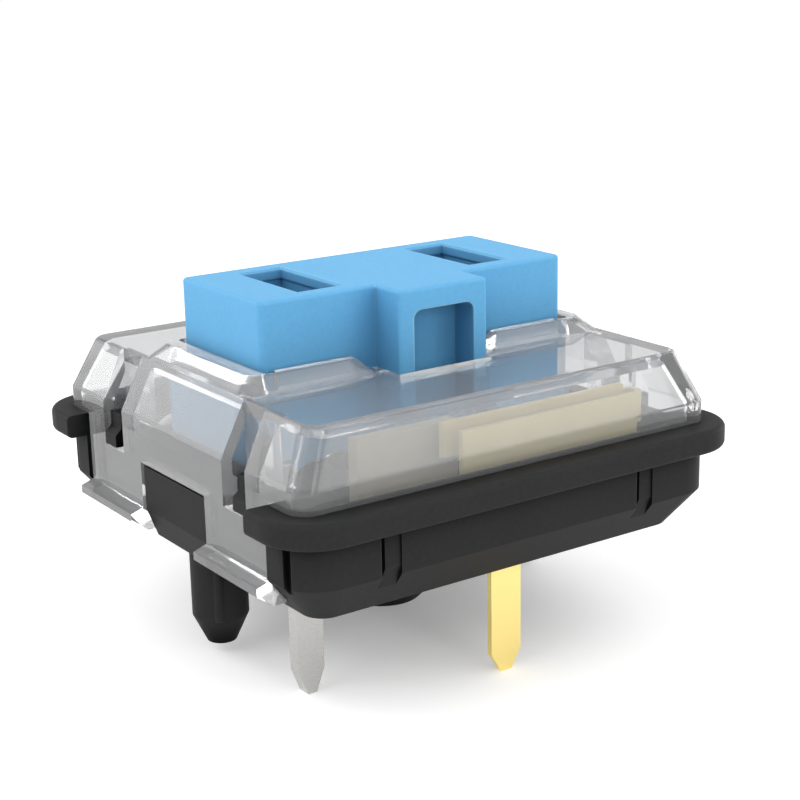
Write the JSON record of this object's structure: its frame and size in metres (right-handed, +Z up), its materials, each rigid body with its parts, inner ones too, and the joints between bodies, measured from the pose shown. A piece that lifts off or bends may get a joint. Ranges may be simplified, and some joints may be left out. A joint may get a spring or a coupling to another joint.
{
  "type": "mechanical keyboard switch",
  "caption": "Low-profile push switch: a spring-loaded stem with keycap slots in a clear cover over a flanged base with solder pins.",
  "frame": {"origin": "centre of the base's underside, on the axis of the centre post: the plane of the circuit board", "axes": "+Z up out of the board along the stem's travel, -Y towards the side with the contacts, +X along the two keycap slots"},
  "size_m": [0.015, 0.015, 0.0103],
  "materials": {
    "base_plastic": "fine satin moulded nylon",
    "clear_plastic": "clear polished polycarbonate",
    "stem_plastic": "sky blue acetal, fine satin",
    "spring_steel": "bright wire",
    "gold_contact": "gold-plated strip",
    "grey_contact": "tin-plated strip",
    "contact_point": "gold alloy"
  },
  "bodies": {
    "housing": {"housing_base": "base_plastic", "housing_cover": "clear_plastic", "moving_contact": "gold_contact", "fixed_contact": "grey_contact", "moving_contact_point": "contact_point", "fixed_contact_point": "contact_point", "click_bar": "spring_steel", "return_spring": "spring_steel"},
    "key": {"stem": "stem_plastic"}
  },
  "joints": [
    {"name": "press", "type": "slide", "parent": "housing", "child": "key", "axis": [0, 0, -1], "range_m": [0, 0.0018], "stiffness_N_per_m": 130, "springref_m": -0.0023, "deforming": ["return_spring"]}
  ]
}
